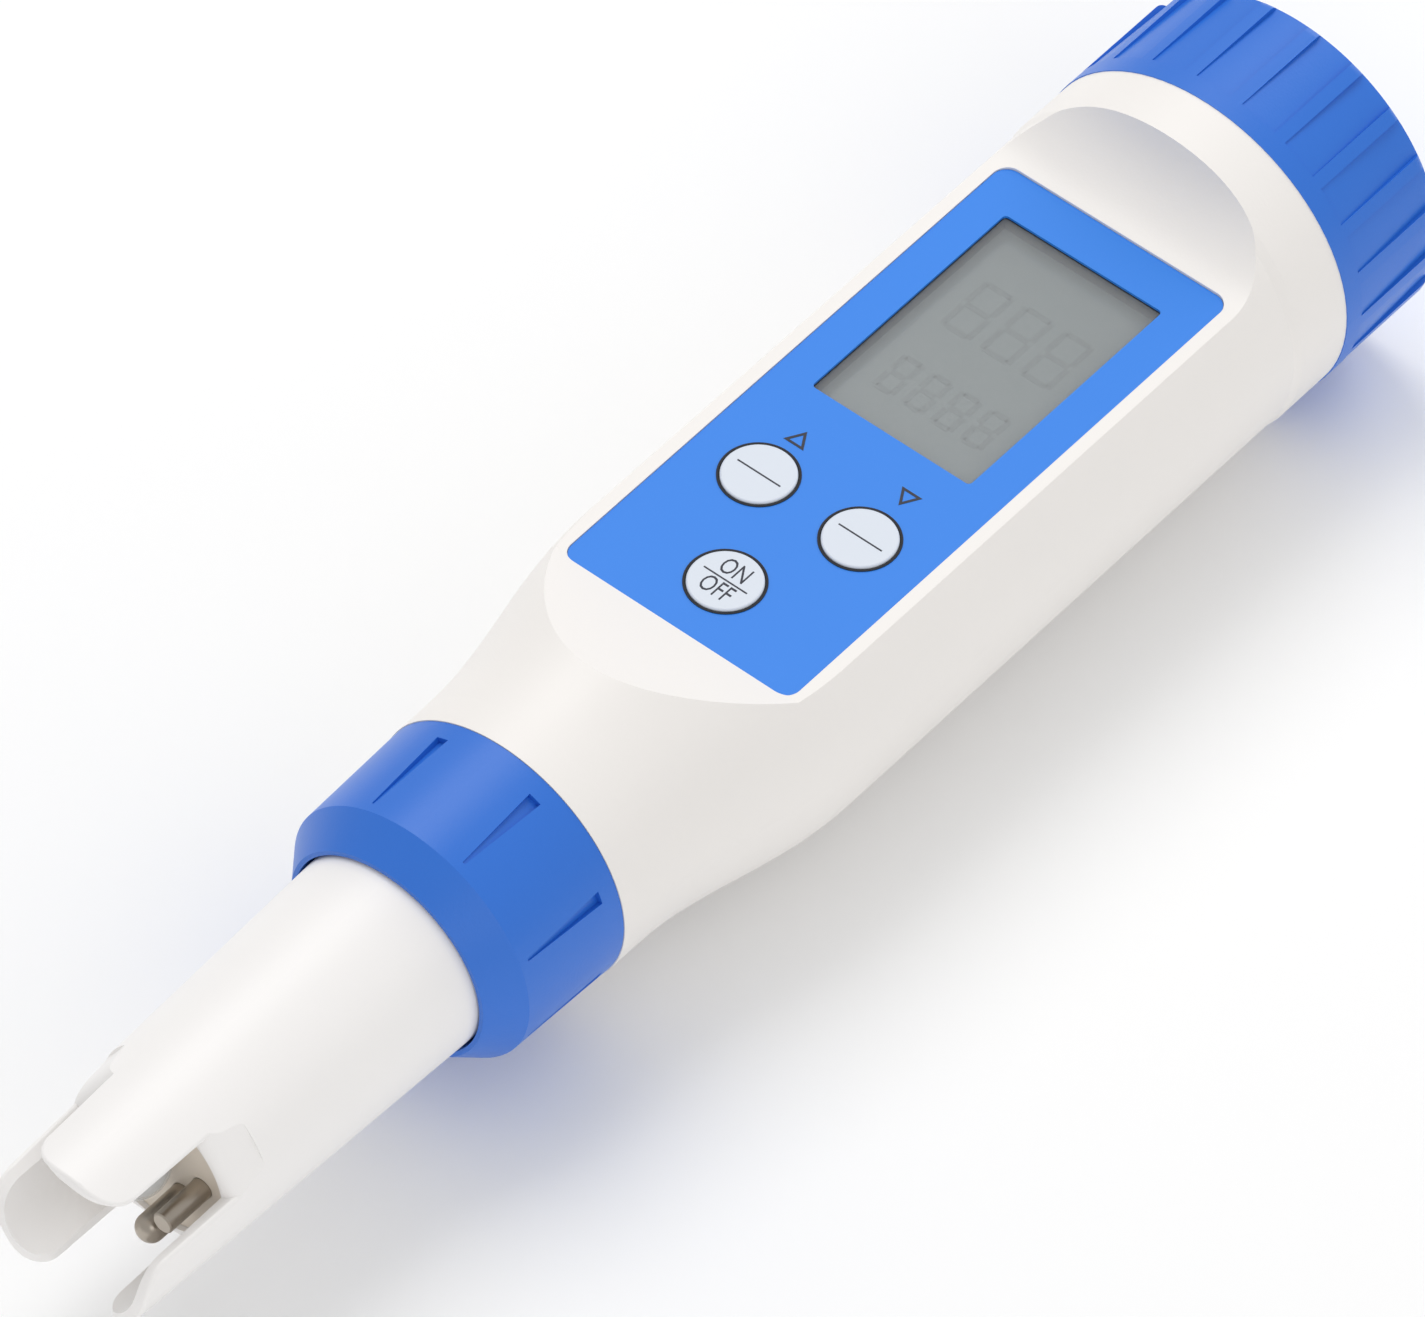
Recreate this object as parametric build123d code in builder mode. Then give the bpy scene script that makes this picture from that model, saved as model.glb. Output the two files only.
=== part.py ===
# Pen-type water quality meter, lying on its back.
# Y runs from the probe tip to the battery cap, Z is up through the display face, X is across.
# The origin is below the middle of the meter, on the surface that it lies on.
import os
from math import cos, hypot, radians, sin, tan

from build123d import *

os.makedirs("parts", exist_ok=True)

# Overall lengths along the meter
probe_length = 47.3
collar_length = 17.6
body_length = 109.4
cap_length = 15.7

# Outer radii
cap_radius = 20.05
head_step = 0.1
grip_step = 0.35
neck_radius = 15.8
collar_step = 0.1
collar_taper = 0.4
probe_root_radius = 11.7
probe_tip_radius = 10.4

# Shoulder curve and head step, measured from the collar
shoulder_start = 4.0
shoulder_end = 33.0
head_start = 101.0
head_ramp = 1.2

# Walls and clearances
shell_wall = 2.0
probe_wall = 1.7
cap_wall = 2.2
end_wall = 2.5
bore_overlap = 1.0
thread_clearance = 0.3
slide_clearance = 0.08
seat_clearance = 0.05
end_clearance = 0.3
cut_margin = 5.0

# Flat display face
face_drop = 9.05
face_start = 26.5
face_length = 68.0
ramp_slope = 22.5
scoop_radius = 8.8

# Grip valleys across both flanks
valley_count = 3
valley_pitch = 21.2
valley_start = 46.0
valley_width = 5.0
valley_depth = 0.35

# Display label
label_width = 29.6
label_length = 70.1
label_thickness = 0.3
label_recess = 0.45
label_corner = 1.8
label_start = 26.0

# Display window, measured from the label's lower edge
window_width = 20.6
window_length = 30.9
window_offset = 33.8
window_corner = 0.5
bezel_wall = 0.5
lens_thickness = 0.6
lens_depth = 0.15
display_depth = 2.25
display_thickness = 1.6
display_margin = 1.8
frame_wall = 1.0
strip_width = 1.8
strip_inset = 0.1

# Buttons, measured from the label's lower edge
button_radius = 3.97
button_ring = 0.34
button_rise = 0.3
button_edge = 0.25
seal_rise = 0.1
button_flange = 0.75
button_flange_thickness = 0.7
button_travel = 0.35
pair_spacing = 13.2
pair_offset = 21.1
power_offset = 8.0

# Circuit board
board_width = 28.0
board_length = 76.0
board_start = 25.2
board_depth = 5.2
board_thickness = 1.6
board_corner = 1.5
boss_radius = 2.2
boss_spacing = 24.0
boss_inset = 3.6
pilot_radius = 0.9
screw_radius = 0.85
screw_head_radius = 1.7
screw_head_height = 1.2
screw_tip_gap = 0.6
screw_hole_clearance = 0.2
switch_size = 6.0
switch_height = 1.3
plunger_radius = 1.7
processor_size = 10.0
processor_offset = -12.0
amplifier_width = 5.0
amplifier_length = 4.0
amplifier_places = ((-7.0, -26.0), (6.0, 3.0))
chip_height = 1.4
chip_corner = 0.3

# Cap end of the body
cap_neck_step = 1.95
cap_neck_length = 10.5
cap_neck_wall = 1.9
cap_rib_count = 21
cap_rib_width = 1.5
cap_rib_phase = 1.2
cap_band = 2.4
panel_depth_low = 0.15
panel_depth_high = 0.6
cap_edge = 1.2
seal_radius = 0.5
seal_groove = 1.2
seal_squeeze = 0.1
seal_setback = 3.0

# Battery carrier
cell_radius = 5.8
cell_height = 5.4
cell_count = 4
cell_gap = 0.15
tray_drop = 4.2
tray_wall = 1.2
tray_end = 1.6
tray_setback = 2.0
cell_clearance = 0.15
contact_margin = 1.0
hub_radius = 4.0
hub_wall = 1.2
contact_thickness = 0.5
contact_width = 2.6
contact_reach = 6.0
contact_spacing = 4.8
pillar_width = 9.0
pillar_thickness = 2.0
pillar_drop = 2.0

# Probe end of the body
collar_wall = 1.8
probe_neck_length = 10.0
probe_neck_wall = 1.8
flange_step = 0.2
flange_thickness = 1.6
gasket_thickness = 1.0
plug_wall = 1.4
plug_insert_length = 4.0
plug_gap = 1.0
socket_length = 4.0
socket_drop = 1.5
socket_bore = 1.5
pin_clearance = 0.1
pin_tail = 1.0
pin_tip_gap = 0.5
cone_length = 3.7
lip_thickness = 0.5

# Collar grip grooves
groove_count = 8
groove_length = 10.6
groove_setback = 2.2
groove_width = 1.5
groove_depth = 0.7
groove_run_out = 0.15
collar_edge = 0.45

# Sensor chamber
chamber_depth = 13.5
slot_rise = 0.6
slot_centres = (57.5, 181.0, 301.0)
slot_widths = (6.9, 8.0, 9.6)
slot_ramp = 4.6
slot_inner_radius = 4.0
slot_edge_radius = 10.5
prong_corner = 3.4
prong_edge = 0.35
prong_lip = 0.2
floor_thickness = 22.0
pin_overhang = 2.0
bulb_radius = 3.8
bulb_wall = 0.35
bulb_reach = 6.6
stem_radius = 2.6
stem_overhang = 5.0
stem_stopper = 2.0
bulb_place = (-0.8, 1.3)
flat_pin_radius = 1.2
flat_pin_edge = 0.15
flat_pin_reach = 5.9
flat_pin_places = ((5.6, -0.1), (1.6, 6.4))
dome_pin_radius = 1.6
dome_pin_edge = 1.44
dome_pin_reach = 6.5
dome_pin_place = (3.3, -3.3)
junction_radius = 1.1
junction_reach = 0.4
junction_place = (-5.6, -2.6)
wire_radius = 0.35
contact_pin_radius = 0.6
contact_pin_count = 6
contact_pin_circle = 5.5

# Radii that follow from the cap and the neck
head_radius = cap_radius - head_step
grip_radius = cap_radius - grip_step
cap_neck_radius = head_radius - cap_neck_step
collar_top_radius = neck_radius - collar_step
collar_low_radius = collar_top_radius - collar_taper
probe_neck_radius = collar_low_radius - collar_wall - thread_clearance
flange_radius = probe_neck_radius - flange_step
face_height = cap_radius - face_drop

# Stations along Y
overall_length = probe_length + collar_length + body_length + cap_length
tip_y = -overall_length / 2
collar_low_y = tip_y + probe_length
collar_top_y = collar_low_y + collar_length
rim_y = collar_top_y + body_length
cap_end_y = rim_y + cap_length
axis_z = cap_radius
face_z = axis_z + face_height
face_low_y = collar_top_y + face_start
face_high_y = face_low_y + face_length
label_low_y = collar_top_y + label_start
label_mid_y = label_low_y + label_length / 2
label_z = face_z - label_recess
window_y = label_low_y + window_offset + window_length / 2
pair_y = label_low_y + pair_offset
power_y = label_low_y + power_offset
face_under_z = face_z - shell_wall
board_top_z = face_z - board_depth
board_low_y = collar_top_y + board_start
board_mid_y = board_low_y + board_length / 2
display_z = face_z - display_depth
chamber_y = tip_y + chamber_depth

body_axis = Axis((0, 0, axis_z), (0, 1, 0))
profile_plane = Plane(origin=(0, 0, axis_z), x_dir=(0, 1, 0), z_dir=(1, 0, 0))
button_places = {
    "hold_button": (-pair_spacing / 2, pair_y),
    "mode_button": (pair_spacing / 2, pair_y),
    "power_button": (0, power_y),
}


def station(y):
    """A plane across the meter at y; its normal points to the probe tip."""
    return Plane(origin=(0, y, axis_z), x_dir=(1, 0, 0), z_dir=(0, -1, 0))


def level(z):
    """A plane parallel to the display face at height z."""
    return Plane.XY.offset(z)


def finish(piece, name):
    piece.part.label = name
    export_step(piece.part, f"parts/{name}.step")


def face_cut(drop):
    """What lies above the display face, its lower ramp and its upper scoop, lowered by drop."""
    top = cap_radius + cut_margin
    floor_height = face_height - drop
    ramp_run = (top - floor_height) / tan(radians(ramp_slope))
    scoop_top = face_height + scoop_radius
    arc_radius = scoop_radius + drop
    turn = cos(radians(45)) * arc_radius
    with BuildPart() as cutter:
        with BuildSketch(profile_plane):
            with BuildLine():
                Line((face_low_y - ramp_run, top), (face_low_y, floor_height))
                Line((face_low_y, floor_height), (face_high_y, floor_height))
                ThreePointArc(
                    (face_high_y, floor_height),
                    (face_high_y + turn, scoop_top - turn),
                    (face_high_y + arc_radius, scoop_top),
                )
                Line((face_high_y + arc_radius, scoop_top), (face_high_y + arc_radius, top))
                Line((face_high_y + arc_radius, top), (face_low_y - ramp_run, top))
            make_face()
        extrude(amount=top, both=True)
    return cutter.part


def body_solid(inset, low_y, high_y):
    """The round body between two stations: neck, shoulder curve, grip and head, drawn in by inset."""
    start_y = collar_top_y + shoulder_start
    end_y = collar_top_y + shoulder_end
    step_y = collar_top_y + head_start
    with BuildPart() as solid:
        with BuildSketch(profile_plane):
            with BuildLine():
                Line((low_y, 0), (low_y, neck_radius - inset))
                Line((low_y, neck_radius - inset), (start_y, neck_radius - inset))
                Spline(
                    (start_y, neck_radius - inset),
                    (end_y, grip_radius - inset),
                    tangents=((1, 0), (1, 0)),
                )
                Line((end_y, grip_radius - inset), (step_y, grip_radius - inset))
                Line((step_y, grip_radius - inset), (step_y + head_ramp, head_radius - inset))
                Line((step_y + head_ramp, head_radius - inset), (high_y, head_radius - inset))
                Line((high_y, head_radius - inset), (high_y, 0))
                Line((high_y, 0), (low_y, 0))
            make_face()
        revolve(axis=body_axis)
    return solid.part


def ring(low_y, high_y, outer, inner):
    """A plain ring round the meter's axis."""
    with BuildPart() as sleeve:
        with BuildSketch(station(low_y)):
            Circle(outer)
            Circle(inner, mode=Mode.SUBTRACT)
        extrude(amount=low_y - high_y)
    return sleeve.part


def torus(y, centre_radius, section_radius):
    """A round seal about the meter's axis."""
    with BuildPart() as seal:
        with BuildSketch(profile_plane):
            with Locations((y, centre_radius)):
                Circle(section_radius)
        revolve(axis=body_axis)
    return seal.part


# Both half shells come from one hollow housing, parted at the level of the axis
probe_bore = probe_neck_radius - probe_neck_wall
cap_bore = cap_neck_radius - cap_neck_wall
seal_y = rim_y + cap_neck_length - seal_setback
seal_depth = 2 * seal_radius - seal_squeeze

with BuildPart() as housing:
    add(body_solid(0, collar_top_y, rim_y))
    add(ring(rim_y - end_wall, rim_y + cap_neck_length, cap_neck_radius, cap_bore))
    add(ring(collar_top_y - probe_neck_length, collar_top_y + end_wall, probe_neck_radius, probe_bore))
    add(face_cut(0), mode=Mode.SUBTRACT)

with BuildPart() as hollow:
    add(body_solid(shell_wall, collar_top_y + end_wall, rim_y - end_wall))
    add(face_cut(shell_wall), mode=Mode.SUBTRACT)

with BuildPart() as cap_groove:
    add(ring(seal_y - seal_groove / 2, seal_y + seal_groove / 2, cap_radius, cap_neck_radius - seal_depth))

cavity_bores = (
    (collar_top_y - probe_neck_length, collar_top_y + end_wall + bore_overlap, probe_bore),
    (rim_y - end_wall - bore_overlap, rim_y + cap_neck_length, cap_bore),
)
valley_radius = (valley_width ** 2 / 4 + valley_depth ** 2) / (2 * valley_depth)

with BuildPart() as valleys:
    for number in range(valley_count):
        valley_y = collar_top_y + valley_start + number * valley_pitch
        with BuildSketch(profile_plane):
            with Locations((valley_y, grip_radius - valley_depth + valley_radius)):
                Circle(valley_radius)
            with Locations((valley_y, grip_radius + valley_radius * 2)):
                Rectangle(valley_width * 3, valley_radius * 3, mode=Mode.INTERSECT)
        revolve(axis=body_axis)

screw_places = [
    (side * boss_spacing / 2, y)
    for side in (-1, 1)
    for y in (board_low_y + boss_inset, board_low_y + board_length - boss_inset)
]

recess_width = label_width + 2 * seat_clearance
recess_length = label_length + 2 * seat_clearance

with BuildPart() as front_shell:
    add(housing.part)
    add(hollow.part, mode=Mode.SUBTRACT)
    with BuildSketch(level(board_top_z)):
        with Locations(*screw_places):
            Circle(boss_radius)
    extrude(amount=face_under_z - board_top_z + shell_wall / 2)
    for low, high, radius in cavity_bores:
        with BuildSketch(station(low)):
            Circle(radius)
        extrude(amount=low - high, mode=Mode.SUBTRACT)
    add(valleys.part, mode=Mode.SUBTRACT)
    add(cap_groove.part, mode=Mode.SUBTRACT)
    split(bisect_by=Plane.XY.offset(axis_z), keep=Keep.TOP)
    with BuildSketch(level(label_z)):
        with Locations((0, label_mid_y)):
            RectangleRounded(recess_width, recess_length, label_corner)
    extrude(amount=label_recess + cut_margin, mode=Mode.SUBTRACT)
    with BuildSketch(level(face_under_z)):
        with Locations((0, window_y)):
            Rectangle(
                window_width + 2 * bezel_wall + 2 * seat_clearance,
                window_length + 2 * bezel_wall + 2 * seat_clearance,
            )
        with Locations(*button_places.values()):
            Circle(button_radius + button_ring + slide_clearance + seat_clearance)
    extrude(amount=shell_wall, mode=Mode.SUBTRACT)
    with BuildSketch(level(board_top_z)):
        with Locations(*screw_places):
            Circle(pilot_radius)
    extrude(amount=face_under_z - board_top_z, mode=Mode.SUBTRACT)
finish(front_shell, "front_shell")

# The rear shell carries the contact pillar of the battery bay
cell_stack = cell_count * cell_height + (cell_count - 1) * cell_gap
tray_length = cell_stack + 2 * tray_end + 2 * contact_thickness
tray_high_y = rim_y + cap_neck_length - tray_setback
tray_low_y = tray_high_y - tray_length
tray_z = axis_z - tray_drop
pillar_y = tray_low_y - end_clearance - contact_thickness
pillar_foot = axis_z - shell_wall / 2

with BuildPart() as rear_shell:
    add(housing.part)
    add(hollow.part, mode=Mode.SUBTRACT)
    for low, high, radius in cavity_bores:
        with BuildSketch(station(low)):
            Circle(radius)
        extrude(amount=low - high, mode=Mode.SUBTRACT)
    add(valleys.part, mode=Mode.SUBTRACT)
    add(cap_groove.part, mode=Mode.SUBTRACT)
    split(bisect_by=Plane.XY.offset(axis_z), keep=Keep.BOTTOM)
    with BuildSketch(station(pillar_y)):
        with Locations((0, -(pillar_foot + pillar_drop) / 2)):
            Rectangle(pillar_width, pillar_foot - pillar_drop)
    extrude(amount=pillar_thickness)
finish(rear_shell, "rear_shell")

# Display face: label, button seals, window and display stack
with BuildPart() as panel_label:
    with BuildSketch(level(label_z)):
        with Locations((0, label_mid_y)):
            RectangleRounded(label_width, label_length, label_corner)
        with Locations((0, window_y)):
            RectangleRounded(window_width, window_length, window_corner, mode=Mode.SUBTRACT)
        with Locations(*button_places.values()):
            Circle(button_radius + button_ring, mode=Mode.SUBTRACT)
    extrude(amount=label_thickness)
finish(panel_label, "panel_label")

label_top_z = label_z + label_thickness

with BuildPart() as button_seals:
    with BuildSketch(level(face_under_z)):
        with Locations(*button_places.values()):
            Circle(button_radius + button_ring)
            Circle(button_radius + slide_clearance, mode=Mode.SUBTRACT)
    extrude(amount=label_top_z - face_under_z + seal_rise)
finish(button_seals, "button_seals")

with BuildPart() as window_lens:
    with BuildSketch(level(label_z - lens_depth - lens_thickness)):
        with Locations((0, window_y)):
            Rectangle(window_width - 2 * seat_clearance, window_length - 2 * seat_clearance)
    extrude(amount=lens_thickness)
finish(window_lens, "window_lens")

glass_width = window_width + 2 * display_margin
glass_length = window_length + 2 * display_margin
glass_low_z = display_z - display_thickness

with BuildPart() as lcd_glass:
    with BuildSketch(level(glass_low_z)):
        with Locations((0, window_y)):
            Rectangle(glass_width, glass_length)
    extrude(amount=display_thickness)
finish(lcd_glass, "lcd_glass")

with BuildPart() as lcd_frame:
    with BuildSketch(level(board_top_z)):
        with Locations((0, window_y)):
            Rectangle(glass_width + 2 * frame_wall, glass_length + 2 * frame_wall)
            Rectangle(
                glass_width + 2 * seat_clearance, glass_length + 2 * seat_clearance, mode=Mode.SUBTRACT
            )
    extrude(amount=face_under_z - seat_clearance - board_top_z)
    with BuildSketch(level(display_z)):
        with Locations((0, window_y)):
            Rectangle(glass_width + 2 * frame_wall, glass_length + 2 * frame_wall)
            Rectangle(window_width, window_length, mode=Mode.SUBTRACT)
    extrude(amount=face_under_z - seat_clearance - display_z)
    with BuildSketch(level(display_z)):
        with Locations((0, window_y)):
            Rectangle(window_width + 2 * bezel_wall, window_length + 2 * bezel_wall)
            Rectangle(window_width, window_length, mode=Mode.SUBTRACT)
    extrude(amount=label_z - display_z)
finish(lcd_frame, "lcd_frame")

strip_shift = glass_length / 2 - strip_inset - strip_width / 2

with BuildPart() as zebra_strips:
    with BuildSketch(level(board_top_z)):
        for side in (-1, 1):
            with Locations((0, window_y + side * strip_shift)):
                Rectangle(glass_width - 2 * strip_inset, strip_width)
    extrude(amount=glass_low_z - board_top_z)
finish(zebra_strips, "zebra_strips")

# Circuit board with its switches, chips and screws
board_low_z = board_top_z - board_thickness

with BuildPart() as main_board:
    with BuildSketch(level(board_low_z)):
        with Locations((0, board_mid_y)):
            RectangleRounded(board_width, board_length, board_corner)
        with Locations(*screw_places):
            Circle(screw_radius + screw_hole_clearance, mode=Mode.SUBTRACT)
    extrude(amount=board_thickness)
finish(main_board, "main_board")

button_low_z = face_under_z - slide_clearance - button_flange_thickness
plunger_top_z = button_low_z - button_travel - seat_clearance

with BuildPart() as tact_switches:
    with BuildSketch(level(board_top_z)):
        with Locations(*button_places.values()):
            Rectangle(switch_size, switch_size)
    extrude(amount=switch_height)
    with BuildSketch(level(board_top_z + switch_height)):
        with Locations(*button_places.values()):
            Circle(plunger_radius)
    extrude(amount=plunger_top_z - board_top_z - switch_height)
finish(tact_switches, "tact_switches")

with BuildPart() as board_chips:
    with BuildSketch(level(board_low_z - chip_height)):
        with Locations((0, board_mid_y + processor_offset)):
            RectangleRounded(processor_size, processor_size, chip_corner)
        for x, offset in amplifier_places:
            with Locations((x, board_mid_y + offset)):
                RectangleRounded(amplifier_width, amplifier_length, chip_corner)
    extrude(amount=chip_height)
finish(board_chips, "board_chips")

with BuildPart() as board_screws:
    with BuildSketch(level(board_low_z - screw_head_height)):
        with Locations(*screw_places):
            Circle(screw_head_radius)
    extrude(amount=screw_head_height)
    with BuildSketch(level(board_low_z)):
        with Locations(*screw_places):
            Circle(screw_radius)
    extrude(amount=face_under_z - board_low_z - screw_tip_gap)
finish(board_screws, "board_screws")

# Buttons: a disc with a rounded edge and a keeper flange under the shell
for name, place in button_places.items():
    with BuildPart() as button:
        with BuildSketch(level(face_under_z - slide_clearance)):
            with Locations(place):
                Circle(button_radius)
        extrude(amount=label_top_z + button_rise - face_under_z + slide_clearance)
        fillet(button.edges().group_by(Axis.Z)[-1], button_edge)
        with BuildSketch(level(button_low_z)):
            with Locations(place):
                Circle(button_radius + button_flange)
        extrude(amount=button_flange_thickness)
    finish(button, name)

# Seals and contacts of the body
with BuildPart() as neck_seal:
    add(torus(seal_y, cap_neck_radius - seal_depth + seal_radius, seal_radius))
finish(neck_seal, "neck_seal")

with BuildPart() as battery_contacts:
    with BuildSketch(station(pillar_y)):
        with GridLocations(contact_spacing, 0, 2, 1):
            with Locations((0, -tray_drop)):
                Rectangle(contact_width, contact_reach)
    extrude(amount=-contact_thickness)
finish(battery_contacts, "battery_contacts")

socket_low_y = collar_top_y - socket_drop

with BuildPart() as probe_socket:
    add(ring(socket_low_y, socket_low_y + socket_length, probe_bore - seat_clearance, socket_bore))
    with BuildSketch(station(socket_low_y)):
        with PolarLocations(contact_pin_circle, contact_pin_count):
            Circle(contact_pin_radius + pin_clearance)
    extrude(amount=-socket_length, mode=Mode.SUBTRACT)
finish(probe_socket, "probe_socket")

# Battery cap: ribbed outside, plain band at its rim, hub for the battery carrier
cap_bore_radius = cap_neck_radius + thread_clearance
panel_low_y = rim_y + cap_band
panel_step = 360 / cap_rib_count
panel_reach = cap_radius * sin(radians(panel_step / 2)) * 2 - cap_rib_width

with BuildPart() as rib_gap:
    with BuildSketch(profile_plane):
        with BuildLine():
            Polyline(
                (panel_low_y, cap_radius - panel_depth_low),
                (cap_end_y, cap_radius - panel_depth_high),
                (cap_end_y, cap_radius + cut_margin),
                (panel_low_y, cap_radius + cut_margin),
                close=True,
            )
        make_face()
    revolve(axis=body_axis)
    with BuildSketch(station(rim_y)):
        with PolarLocations(cap_radius, cap_rib_count, start_angle=90 + cap_rib_phase):
            Rectangle(2 * cut_margin, panel_reach)
    extrude(amount=-cap_length, mode=Mode.INTERSECT)

with BuildPart() as battery_cap:
    with BuildSketch(station(rim_y)):
        Circle(cap_radius)
    extrude(amount=-cap_length)
    fillet(battery_cap.faces().sort_by(Axis.Y)[-1].edges(), cap_edge)
    add(rib_gap.part, mode=Mode.SUBTRACT)
    with BuildSketch(station(rim_y)):
        Circle(cap_bore_radius)
    extrude(amount=-(cap_length - cap_wall), mode=Mode.SUBTRACT)
    with BuildSketch(station(tray_high_y + slide_clearance)):
        Circle(hub_radius)
        Circle(hub_radius - hub_wall, mode=Mode.SUBTRACT)
    extrude(amount=tray_high_y + slide_clearance - cap_end_y + cap_wall / 2)
finish(battery_cap, "battery_cap")

# Battery carrier: an open trough with a button cell stack, turning on the cap's hub
trough_radius = cell_radius + tray_wall
tray_plane = Plane(origin=(0, tray_low_y, tray_z), x_dir=(1, 0, 0), z_dir=(0, -1, 0))
cells_plane = tray_plane.offset(-(tray_end + contact_thickness))
pivot_radius = hub_radius - hub_wall - slide_clearance
pivot_length = cap_end_y - cap_wall - tray_high_y - end_clearance

with BuildPart() as battery_tray:
    with BuildSketch(tray_plane):
        Circle(trough_radius)
    extrude(amount=-tray_length)
    with BuildSketch(tray_plane.offset(-tray_end)):
        Circle(cell_radius + cell_clearance)
        with Locations((0, trough_radius)):
            Rectangle(2 * (cell_radius + cell_clearance), 2 * trough_radius)
    extrude(amount=-(tray_length - 2 * tray_end), mode=Mode.SUBTRACT)
    with BuildSketch(station(tray_high_y - tray_end)):
        Circle(hub_radius)
    extrude(amount=-tray_end)
    with BuildSketch(station(tray_high_y)):
        Circle(pivot_radius)
    extrude(amount=-pivot_length)
finish(battery_tray, "battery_tray")

with BuildPart() as button_cells:
    for number in range(cell_count):
        with BuildSketch(cells_plane.offset(-number * (cell_height + cell_gap))):
            Circle(cell_radius)
        extrude(amount=-cell_height)
finish(button_cells, "button_cells")

with BuildPart() as cell_contacts:
    for offset in (tray_end, tray_length - tray_end - contact_thickness):
        with BuildSketch(tray_plane.offset(-offset)):
            Circle(cell_radius - contact_margin)
        extrude(amount=-contact_thickness)
finish(cell_contacts, "cell_contacts")

# Probe tube: tapered, with three prongs round the sensors and a flange under the collar
plug_radius = probe_bore - thread_clearance
plug_high_y = socket_low_y - plug_gap
gasket_high_y = collar_top_y - probe_neck_length - seat_clearance
flange_high_y = gasket_high_y - gasket_thickness - seat_clearance
flange_low_y = flange_high_y - flange_thickness
chamber_radius = probe_tip_radius - probe_wall
core_radius = plug_radius - plug_wall
tube_root_y = collar_low_y + cone_length
slot_root_y = chamber_y - slot_rise
slot_top_y = slot_root_y + slot_ramp


def probe_surface(y):
    """Outer radius of the tapered tube at y."""
    share = (y - tip_y) / probe_length
    return probe_tip_radius + share * (probe_root_radius - probe_tip_radius)


with BuildPart() as probe_tube:
    with BuildSketch(profile_plane):
        with BuildLine():
            Polyline(
                (tip_y, chamber_radius + prong_lip),
                (tip_y, probe_tip_radius - prong_lip),
                (tube_root_y, probe_surface(tube_root_y)),
                (flange_low_y, probe_surface(tube_root_y)),
                (flange_low_y, flange_radius),
                (flange_high_y, flange_radius),
                (flange_high_y, plug_radius),
                (plug_high_y, plug_radius),
                (plug_high_y, core_radius),
                (chamber_y, chamber_radius),
                close=True,
            )
        make_face()
    revolve(axis=body_axis)
    for centre, width in zip(slot_centres, slot_widths):
        outward = Vector(sin(radians(centre)), 0, cos(radians(centre)))
        across = Vector(cos(radians(centre)), 0, -sin(radians(centre)))
        half = width / 2
        mouth = half + prong_corner
        corner = prong_corner * (1 - cos(radians(45)))
        with BuildSketch(Plane(origin=(0, 0, axis_z), x_dir=(0, 1, 0), z_dir=across)):
            with BuildLine():
                Polyline(
                    (slot_top_y, slot_edge_radius),
                    (slot_top_y, cap_radius),
                    (tip_y - cut_margin, cap_radius),
                    (tip_y - cut_margin, slot_inner_radius),
                    (slot_root_y, slot_inner_radius),
                    (slot_root_y, chamber_radius),
                )
                Spline(
                    (slot_root_y, chamber_radius),
                    (slot_top_y, slot_edge_radius),
                    tangents=((0.15, 1), (1, 0.25)),
                )
            make_face()
        extrude(amount=half, both=True, mode=Mode.SUBTRACT)
        with BuildSketch(Plane(origin=(0, tip_y, axis_z), x_dir=across, z_dir=outward)):
            with BuildLine():
                Polyline((-mouth, 0), (-mouth, -cut_margin), (mouth, -cut_margin), (mouth, 0))
                ThreePointArc((mouth, 0), (half + corner, corner), (half, prong_corner))
                Line((half, prong_corner), (-half, prong_corner))
                ThreePointArc((-half, prong_corner), (-half - corner, corner), (-mouth, 0))
            make_face()
        extrude(amount=cap_radius, mode=Mode.SUBTRACT)
    prong_edges = probe_tube.edges().filter_by(
        lambda edge: edge.center().Y < chamber_y - slot_rise
        and hypot(edge.center().X, edge.center().Z - axis_z) > (chamber_radius + 2 * probe_tip_radius) / 3
    )
    fillet(prong_edges, prong_edge)
finish(probe_tube, "probe_tube")

# Sensor base: potted core that fills the tube behind the chamber and holds every sensor
base_high_y = chamber_y + floor_thickness
taper = (core_radius - chamber_radius) / (plug_high_y - chamber_y)
sensor_bores = [(place, flat_pin_radius) for place in flat_pin_places]
sensor_bores.append((bulb_place, stem_radius))
sensor_bores.append((dome_pin_place, dome_pin_radius))
sensor_bores.append((junction_place, junction_radius))

with BuildPart() as sensor_base:
    with BuildSketch(profile_plane):
        with BuildLine():
            Polyline(
                (chamber_y, 0),
                (chamber_y, chamber_radius - seat_clearance),
                (base_high_y, chamber_radius + taper * floor_thickness - seat_clearance),
                (base_high_y, 0),
                close=True,
            )
        make_face()
    revolve(axis=body_axis)
    with BuildSketch(station(chamber_y)):
        for place, radius in sensor_bores:
            with Locations(place):
                Circle(radius + seat_clearance)
    extrude(amount=-floor_thickness, mode=Mode.SUBTRACT)
finish(sensor_base, "sensor_base")

stem_end_y = base_high_y + stem_overhang
bulb_y = chamber_y - bulb_reach + bulb_radius
bulb_plane = Plane(origin=(bulb_place[0], 0, axis_z + bulb_place[1]), x_dir=(0, 1, 0), z_dir=(1, 0, 0))
bulb_axis = Axis((bulb_place[0], 0, axis_z + bulb_place[1]), (0, 1, 0))

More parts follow.
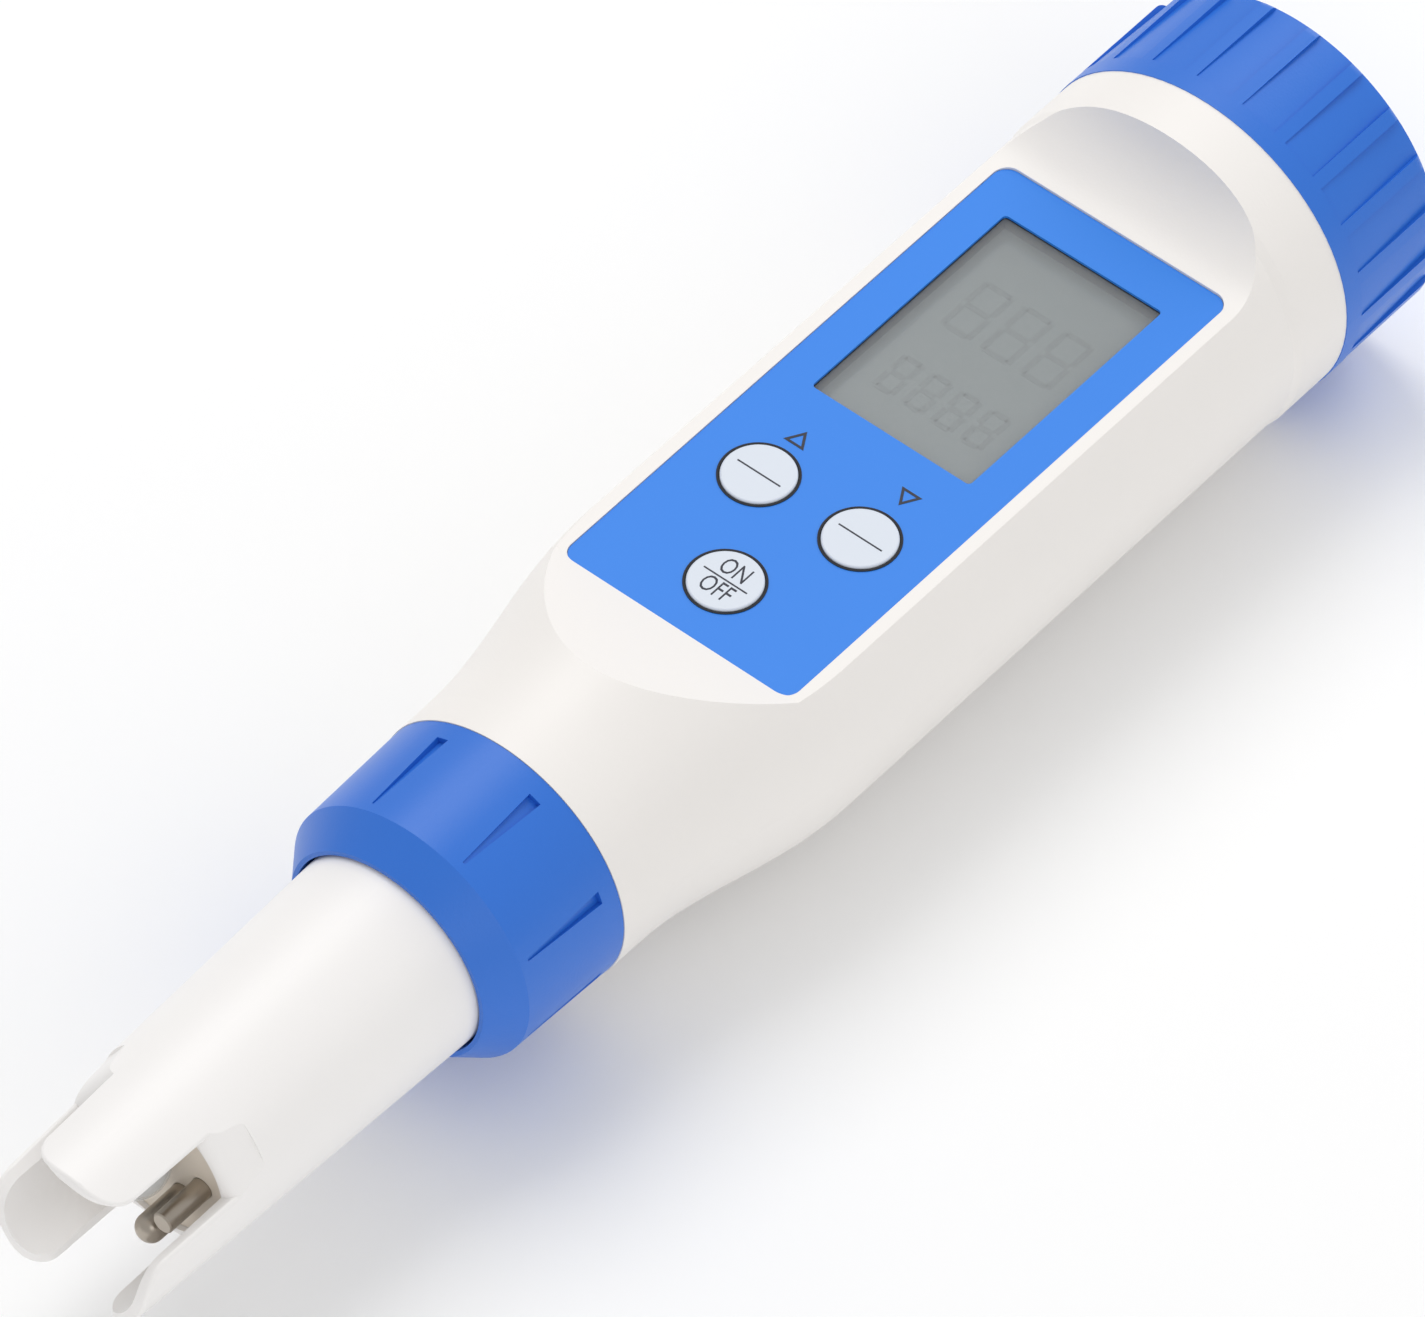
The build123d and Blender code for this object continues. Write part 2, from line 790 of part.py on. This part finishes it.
with BuildPart() as glass_bulb:
    for wall, mode in ((0, Mode.ADD), (bulb_wall, Mode.SUBTRACT)):
        with BuildSketch(bulb_plane):
            with Locations((bulb_y, 0)):
                Circle(bulb_radius - wall)
            with Locations(((bulb_y + stem_end_y) / 2, 0)):
                Rectangle(stem_end_y - bulb_y, 2 * (stem_radius - wall))
            with Locations((0, -cap_radius / 2)):
                Rectangle(2 * overall_length, cap_radius, mode=Mode.SUBTRACT)
        revolve(axis=bulb_axis, mode=mode)
finish(glass_bulb, "glass_bulb")

with BuildPart() as silver_wire:
    with BuildSketch(station(bulb_y)):
        with Locations(bulb_place):
            Circle(wire_radius)
    extrude(amount=bulb_y - stem_end_y)
    with BuildSketch(station(stem_end_y - stem_stopper)):
        with Locations(bulb_place):
            Circle(stem_radius - bulb_wall - seat_clearance)
    extrude(amount=-stem_stopper)
finish(silver_wire, "silver_wire")

with BuildPart() as conductivity_pins:
    with BuildSketch(station(chamber_y - flat_pin_reach)):
        with Locations(*flat_pin_places):
            Circle(flat_pin_radius)
    extrude(amount=-(flat_pin_reach + floor_thickness + pin_overhang))
    chamfer(conductivity_pins.faces().group_by(Axis.Y)[0].edges(), flat_pin_edge)
finish(conductivity_pins, "conductivity_pins")

with BuildPart() as temperature_pin:
    with BuildSketch(station(chamber_y - dome_pin_reach)):
        with Locations(dome_pin_place):
            Circle(dome_pin_radius)
    extrude(amount=-(dome_pin_reach + floor_thickness + pin_overhang))
    fillet(temperature_pin.faces().sort_by(Axis.Y)[0].edges(), dome_pin_edge)
finish(temperature_pin, "temperature_pin")

with BuildPart() as reference_junction:
    with BuildSketch(station(chamber_y - junction_reach)):
        with Locations(junction_place):
            Circle(junction_radius)
    extrude(amount=-(junction_reach + floor_thickness / 2))
finish(reference_junction, "reference_junction")

# Plug at the top of the probe, its pins, and the flat gasket under the flange
plug_low_y = plug_high_y - plug_insert_length
plug_low_radius = core_radius - taper * plug_insert_length - seat_clearance
pin_high_y = socket_low_y + socket_length - pin_tip_gap

with BuildPart() as probe_plug:
    with BuildSketch(station(plug_low_y)):
        Circle(plug_low_radius)
        with PolarLocations(contact_pin_circle, contact_pin_count):
            Circle(contact_pin_radius, mode=Mode.SUBTRACT)
    extrude(amount=-plug_insert_length)
finish(probe_plug, "probe_plug")

with BuildPart() as plug_pins:
    with BuildSketch(station(plug_low_y - pin_tail)):
        with PolarLocations(contact_pin_circle, contact_pin_count):
            Circle(contact_pin_radius)
    extrude(amount=plug_low_y - pin_tail - pin_high_y)
finish(plug_pins, "plug_pins")

with BuildPart() as probe_gasket:
    add(ring(gasket_high_y - gasket_thickness, gasket_high_y, flange_radius, plug_radius + seat_clearance))
finish(probe_gasket, "probe_gasket")

# Collar nut: tapered grip, conical nose with a rounded lip, wedge grooves
nose_radius = probe_surface(collar_low_y) + thread_clearance
nose_outer = nose_radius + lip_thickness
groove_high_y = collar_top_y - groove_setback
groove_low_y = groove_high_y - groove_length
shoulder_y = flange_low_y - seat_clearance


def collar_surface(y):
    """Outer radius of the collar's tapered grip at y."""
    share = (collar_top_y - y) / (collar_length - cone_length)
    return collar_top_radius - share * (collar_top_radius - collar_low_radius)


def groove_tool(turn):
    """One wedge groove: widest and deepest near the collar's top, running out at its cone."""
    outward = Vector(sin(turn), 0, cos(turn))
    across = Vector(cos(turn), 0, -sin(turn))
    with BuildPart() as wedge:
        with BuildSketch(Plane(origin=(0, 0, axis_z), x_dir=(0, 1, 0), z_dir=across)):
            with BuildLine():
                Polyline(
                    (groove_low_y, collar_surface(groove_low_y) - groove_run_out),
                    (groove_high_y, collar_surface(groove_high_y) - groove_depth),
                    (groove_high_y, cap_radius),
                    (groove_low_y, cap_radius),
                    close=True,
                )
            make_face()
        extrude(amount=groove_width, both=True)
        with BuildSketch(Plane(origin=(0, 0, axis_z), x_dir=across, z_dir=outward)):
            with BuildLine():
                Polyline(
                    (-groove_run_out, groove_low_y),
                    (groove_run_out, groove_low_y),
                    (groove_width / 2, groove_high_y),
                    (-groove_width / 2, groove_high_y),
                    close=True,
                )
            make_face()
        extrude(amount=cap_radius, mode=Mode.INTERSECT)
    return wedge.part


with BuildPart() as collar_nut:
    with BuildSketch(profile_plane):
        with BuildLine():
            Polyline(
                (collar_low_y, nose_radius),
                (collar_low_y, nose_outer),
                (collar_low_y + cone_length, collar_low_radius),
                (collar_top_y - seat_clearance, collar_top_radius),
                (collar_top_y - seat_clearance, probe_neck_radius + thread_clearance),
                (shoulder_y, probe_neck_radius + thread_clearance),
                (shoulder_y, nose_radius),
                close=True,
            )
        collar_face = make_face()
        outer_corners = collar_face.vertices().filter_by(
            lambda point: point.Z > axis_z + nose_radius + slide_clearance
        )
        fillet(outer_corners, collar_edge)
    revolve(axis=body_axis)
    for number in range(groove_count):
        add(groove_tool(radians(360 / groove_count * (number + 0.5))), mode=Mode.SUBTRACT)
finish(collar_nut, "collar_nut")
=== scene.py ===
import bpy
from mathutils import Matrix, Vector


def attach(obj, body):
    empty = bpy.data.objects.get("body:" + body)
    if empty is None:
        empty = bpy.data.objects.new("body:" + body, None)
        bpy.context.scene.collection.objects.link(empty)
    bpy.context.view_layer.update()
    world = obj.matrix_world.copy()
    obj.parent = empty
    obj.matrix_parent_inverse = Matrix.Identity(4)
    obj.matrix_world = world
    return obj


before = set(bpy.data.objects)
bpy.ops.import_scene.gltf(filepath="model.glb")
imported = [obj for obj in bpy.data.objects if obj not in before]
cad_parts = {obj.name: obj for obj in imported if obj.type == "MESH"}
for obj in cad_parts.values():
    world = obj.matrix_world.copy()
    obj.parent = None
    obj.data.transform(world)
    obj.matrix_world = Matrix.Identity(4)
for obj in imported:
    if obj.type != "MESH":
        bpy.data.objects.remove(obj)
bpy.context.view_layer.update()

print("stage: frame loaded")

tones = {
    "label": (0.012, 0.215, 0.80), "cap": (0.022, 0.162, 0.66), "body": (0.885, 0.855, 0.825),
    "probe": (0.92, 0.90, 0.885), "button": (0.69, 0.74, 0.82), "ink": (0.012, 0.014, 0.03),
    "black": (0.012, 0.013, 0.018), "lcd": (0.115, 0.145, 0.142), "board": (0.01, 0.09, 0.035),
    "steel": (0.46, 0.41, 0.35), "nickel": (0.55, 0.52, 0.47), "brass": (0.68, 0.44, 0.13),
    "potting": (0.78, 0.70, 0.60), "ceramic": (0.80, 0.80, 0.76), "digit": (0.085, 0.11, 0.108),
}


# Fine grain in the bump and a slow change of tone, both in object space
grainSet = {"toneScale": 60.0, "toneDetail": 4.0, "fineDetail": 2.0, "depth": 0.00004}


def newMaterial(name, color, rough, metal=0.0, grain=0.0, grainScale=9000.0, tint=0.0, coat=0.0):
    mat = bpy.data.materials.new(name)
    mat.use_nodes = True
    tree = mat.node_tree
    shader = tree.nodes["Principled BSDF"]
    shader.inputs["Roughness"].default_value = rough
    shader.inputs["Metallic"].default_value = metal
    shader.inputs["Coat Weight"].default_value = coat
    coords = tree.nodes.new("ShaderNodeTexCoord")
    tone = tree.nodes.new("ShaderNodeTexNoise")
    tone.inputs["Scale"].default_value = grainSet["toneScale"]
    tone.inputs["Detail"].default_value = grainSet["toneDetail"]
    ramp = tree.nodes.new("ShaderNodeMix")
    ramp.data_type = "RGBA"
    ramp.inputs[6].default_value = (*[c * (1 - tint) for c in color], 1)
    ramp.inputs[7].default_value = (*[min(1, c * (1 + tint)) for c in color], 1)
    tree.links.new(coords.outputs["Object"], tone.inputs["Vector"])
    tree.links.new(tone.outputs["Fac"], ramp.inputs[0])
    tree.links.new(ramp.outputs[2], shader.inputs["Base Color"])
    if grain:
        fine = tree.nodes.new("ShaderNodeTexNoise")
        fine.inputs["Scale"].default_value = grainScale
        fine.inputs["Detail"].default_value = grainSet["fineDetail"]
        bump = tree.nodes.new("ShaderNodeBump")
        bump.inputs["Strength"].default_value = grain
        bump.inputs["Distance"].default_value = grainSet["depth"]
        tree.links.new(coords.outputs["Object"], fine.inputs["Vector"])
        tree.links.new(fine.outputs["Fac"], bump.inputs["Height"])
        tree.links.new(bump.outputs["Normal"], shader.inputs["Normal"])
    return mat


def newGlass(name, color, rough, alpha):
    mat = newMaterial(name, color, rough, coat=0.3)
    shader = mat.node_tree.nodes["Principled BSDF"]
    shader.inputs["Alpha"].default_value = alpha
    shader.inputs["IOR"].default_value = 1.49
    return mat


looks = {
    "body": newMaterial("satin_white", tones["body"], 0.42, grain=0.25, grainScale=3500, tint=0.012),
    "probe": newMaterial("probe_white", tones["probe"], 0.4, grain=0.2, grainScale=3500, tint=0.012),
    "cap": newMaterial("blue_moulding", tones["cap"], 0.38, grain=0.3, grainScale=3000, tint=0.03),
    "label": newMaterial("blue_film", tones["label"], 0.45, grain=0.15, grainScale=5000, tint=0.015),
    "button": newMaterial("button_white", tones["button"], 0.4, grain=0.1, tint=0.01),
    "ink": newMaterial("printing_ink", tones["ink"], 0.5, tint=0.05),
    "black": newMaterial("black_moulding", tones["black"], 0.45, grain=0.2, tint=0.08),
    "rubber": newMaterial("seal_rubber", tones["black"], 0.75, grain=0.4, tint=0.1),
    "lens": newGlass("clear_lens", (0.85, 0.88, 0.9), 0.05, 0.14),
    "bulb": newGlass("electrode_glass", (0.85, 0.88, 0.9), 0.03, 0.35),
    "lcd": newMaterial("display_glass", tones["lcd"], 0.22, tint=0.03, coat=0.4),
    "digit": newMaterial("display_segments", tones["digit"], 0.22, tint=0.03, coat=0.4),
    "board": newMaterial("solder_mask", tones["board"], 0.35, grain=0.2, tint=0.15),
    "steel": newMaterial("turned_steel", tones["steel"], 0.3, metal=1.0, grain=0.2, tint=0.06),
    "nickel": newMaterial("nickel_strip", tones["nickel"], 0.3, metal=1.0, grain=0.15, tint=0.05),
    "brass": newMaterial("gilt_pin", tones["brass"], 0.25, metal=1.0, tint=0.05),
    "potting": newMaterial("potting_resin", tones["potting"], 0.5, grain=0.3, grainScale=2500, tint=0.04),
    "ceramic": newMaterial("porous_ceramic", tones["ceramic"], 0.9, grain=0.8, grainScale=5000, tint=0.08),
}
nodeLooks = {
    "front_shell": "body", "rear_shell": "body", "panel_label": "label", "button_seals": "rubber",
    "window_lens": "lens", "lcd_glass": "lcd", "lcd_frame": "black", "zebra_strips": "rubber",
    "main_board": "board", "tact_switches": "black", "board_chips": "black", "board_screws": "steel",
    "neck_seal": "rubber", "battery_contacts": "nickel", "probe_socket": "black", "hold_button": "button",
    "mode_button": "button", "power_button": "button", "battery_tray": "black", "button_cells": "steel",
    "cell_contacts": "nickel", "battery_cap": "cap", "probe_tube": "probe", "sensor_base": "potting",
    "glass_bulb": "bulb", "silver_wire": "nickel", "conductivity_pins": "steel", "temperature_pin": "steel",
    "reference_junction": "ceramic", "probe_plug": "black", "plug_pins": "brass", "probe_gasket": "rubber",
    "collar_nut": "cap",
}
for node, look in nodeLooks.items():
    obj = bpy.data.objects[node]
    for slot in obj.material_slots:
        slot.link = "OBJECT"
        slot.material = looks[look]
print("stage: materials")


def addPiece(name, verts, faces, look, body):
    mesh = bpy.data.meshes.new(name)
    mesh.from_pydata(verts, [], faces)
    mesh.materials.append(looks[look])
    mesh.update()
    obj = bpy.data.objects.new(name, mesh)
    bpy.context.scene.collection.objects.link(obj)
    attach(obj, body)


# Closed prisms with the given convex outlines between two heights
def plateMesh(outlines, low, high):
    verts = []
    faces = []
    for outline in outlines:
        base = len(verts)
        count = len(outline)
        verts += [(x, y, low) for x, y in outline] + [(x, y, high) for x, y in outline]
        faces.append([base + i for i in reversed(range(count))])
        faces.append([base + count + i for i in range(count)])
        for i in range(count):
            j = (i + 1) % count
            faces.append([base + i, base + j, base + count + j, base + count + i])
    return verts, faces


def bar(x, y, width, height):
    return [(x - width / 2, y - height / 2), (x + width / 2, y - height / 2),
            (x + width / 2, y + height / 2), (x - width / 2, y + height / 2)]


# Button legends: a divider line on each disc, and plain ON and OFF on the lower one
legend = {"top": 0.03119, "thick": 0.00003, "size": 0.0027, "line": 0.0002, "lineWidth": 0.0056,
          "spread": 0.0015, "widen": 0.8, "heighten": 1.15, "curveSteps": 3}


def addText(name, words, x, y, body):
    curve = bpy.data.curves.new(name, "FONT")
    curve.body = words
    curve.size = legend["size"]
    curve.align_x = "CENTER"
    curve.align_y = "CENTER"
    curve.extrude = legend["thick"] / 2
    curve.resolution_u = legend["curveSteps"]
    textObj = bpy.data.objects.new(name + "_curve", curve)
    bpy.context.scene.collection.objects.link(textObj)
    depsgraph = bpy.context.evaluated_depsgraph_get()
    mesh = bpy.data.meshes.new_from_object(textObj.evaluated_get(depsgraph))
    bpy.data.objects.remove(textObj)
    stretch = Matrix.Diagonal((legend["widen"], legend["heighten"], 1, 1))
    mesh.transform(Matrix.Translation((x, y, legend["top"])) @ stretch)
    mesh.materials.clear()
    mesh.materials.append(looks["ink"])
    obj = bpy.data.objects.new(name, mesh)
    bpy.context.scene.collection.objects.link(obj)
    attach(obj, body)


buttons = {
    "hold_button": {"body": "hold_key", "x": -0.0066, "y": 0.0170, "words": None},
    "mode_button": {"body": "mode_key", "x": 0.0066, "y": 0.0170, "words": None},
    "power_button": {"body": "power_key", "x": 0.0, "y": 0.0039, "words": ("ON", "OFF")},
}
for name, spec in buttons.items():
    divider = bar(spec["x"], spec["y"], legend["lineWidth"], legend["line"])
    verts, faces = plateMesh([divider], legend["top"] - legend["thick"] / 2,
                             legend["top"] + legend["thick"] / 2)
    addPiece(name + "_line", verts, faces, "ink", spec["body"])
    if spec["words"]:
        upper, lower = spec["words"]
        addText(name + "_upper_word", upper, spec["x"], spec["y"] + legend["spread"], spec["body"])
        addText(name + "_lower_word", lower, spec["x"], spec["y"] - legend["spread"], spec["body"])
print("stage: legends")

# Unlit segments of the display: two rows of seven-segment places
segments = {"high": 0.0078, "wide": 0.0040, "thick": 0.0007, "pitch": 0.0050, "gap": 0.00015,
            "top": 0.02880, "depth": 0.00002, "spread": 0.04}
rows = ({"y": 0.0500, "scale": 1.0, "places": 3}, {"y": 0.0380, "scale": 0.72, "places": 4})


def digitOutlines(x, y, high, wide):
    t = segments["thick"]
    g = segments["gap"]
    half = high / 2
    outlines = [bar(x, y + half - t / 2, wide - 2 * g - t, t), bar(x, y, wide - 2 * g - t, t),
                bar(x, y - half + t / 2, wide - 2 * g - t, t)]
    for sx in (-1, 1):
        for sy in (-1, 1):
            outlines.append(bar(x + sx * (wide - t) / 2, y + sy * high / 4, t, half - 2 * g - t / 2))
    return outlines


outlines = []
for row in rows:
    for number in range(row["places"]):
        step = segments["pitch"] * (row["scale"] + segments["spread"])
        x = (number - (row["places"] - 1) / 2) * step
        high = segments["high"] * row["scale"]
        wide = segments["wide"] * row["scale"]
        outlines += digitOutlines(x, row["y"], high, wide)
verts, faces = plateMesh(outlines, segments["top"], segments["top"] + segments["depth"])
addPiece("display_segments", verts, faces, "digit", "housing")
print("stage: display")

# Small printed triangles beside the upper two buttons
marks = {"size": 0.0013, "line": 0.0002, "x": 0.0066, "upY": 0.0233, "downY": 0.0243,
         "top": 0.0309, "thick": 0.00003, "foot": 0.7, "narrow": 2.6}


def triangleFrame(x, y, size, line, sign):
    foot = y - sign * size * marks["foot"]
    outer = [(x - size, foot), (x + size, foot), (x, y + sign * size)]
    cy = sum(p[1] for p in outer) / 3
    shrink = 1 - line * marks["narrow"] / size
    inner = [(x + (px - x) * shrink, cy + (py - cy) * shrink) for px, py in outer]
    quads = []
    for i in range(3):
        j = (i + 1) % 3
        quad = [outer[i], outer[j], inner[j], inner[i]]
        if sign < 0:
            quad.reverse()
        quads.append(quad)
    return quads


quads = triangleFrame(-marks["x"], marks["upY"], marks["size"], marks["line"], 1)
quads += triangleFrame(marks["x"], marks["downY"], marks["size"], marks["line"], -1)
verts, faces = plateMesh(quads, marks["top"] - marks["thick"], marks["top"] + marks["thick"])
addPiece("panel_triangles", verts, faces, "ink", "housing")
print("stage: panel marks")

# Stage, light and camera
floor = bpy.data.meshes.new("floor")
reach = 3.0
corners = [(-reach, -reach, 0), (reach, -reach, 0), (reach, reach, 0), (-reach, reach, 0)]
floor.from_pydata(corners, [], [(0, 1, 2, 3)])
floorMat = bpy.data.materials.new("pale_floor")
floorMat.use_nodes = True
floorShader = floorMat.node_tree.nodes["Principled BSDF"]
floorShader.inputs["Base Color"].default_value = (0.97, 0.97, 0.97, 1)
floorShader.inputs["Roughness"].default_value = 0.9
floor.materials.append(floorMat)
floorObj = bpy.data.objects.new("floor", floor)
bpy.context.scene.collection.objects.link(floorObj)

lights = {
    "key_light": {"at": (-0.5, 0.25, 1.1), "energy": 4.6, "size": 0.7},
    "fill_light": {"at": (0.9, -0.5, 0.7), "energy": 2.6, "size": 0.9},
    "back_light": {"at": (-0.2, 1.0, 0.6), "energy": 2.4, "size": 0.6},
}
aimPoint = Vector((0, 0, 0.02))
for name, spec in lights.items():
    data = bpy.data.lights.new(name, "AREA")
    data.energy = spec["energy"]
    data.size = spec["size"]
    light = bpy.data.objects.new(name, data)
    light.location = spec["at"]
    aim = aimPoint - Vector(spec["at"])
    light.rotation_euler = aim.to_track_quat("-Z", "Y").to_euler()
    bpy.context.scene.collection.objects.link(light)

world = bpy.data.worlds.new("studio")
bpy.context.scene.world = world
world.use_nodes = True
background = world.node_tree.nodes["Background"]
background.inputs["Color"].default_value = (1, 1, 1, 1)
background.inputs["Strength"].default_value = 0.62

camera = bpy.data.cameras.new("photo_camera")
camera.sensor_width = 36.0
camera.lens = 352.8
camera.clip_end = 10.0
cameraObj = bpy.data.objects.new("photo_camera", camera)
right = Vector((0.7657, 0.6431, 0.0128))
up = Vector((-0.4933, 0.5744, 0.6532))
back = Vector((0.4127, -0.5064, 0.7571))
turn = Matrix((right, up, back)).transposed().to_4x4()
cameraObj.matrix_world = Matrix.Translation((0.5771, -0.7061, 1.0795)) @ turn
bpy.context.scene.collection.objects.link(cameraObj)
bpy.context.scene.camera = cameraObj

scene = bpy.context.scene
scene.render.resolution_x = 1425
scene.render.resolution_y = 1317
scene.view_settings.view_transform = "Standard"
print("stage: studio")
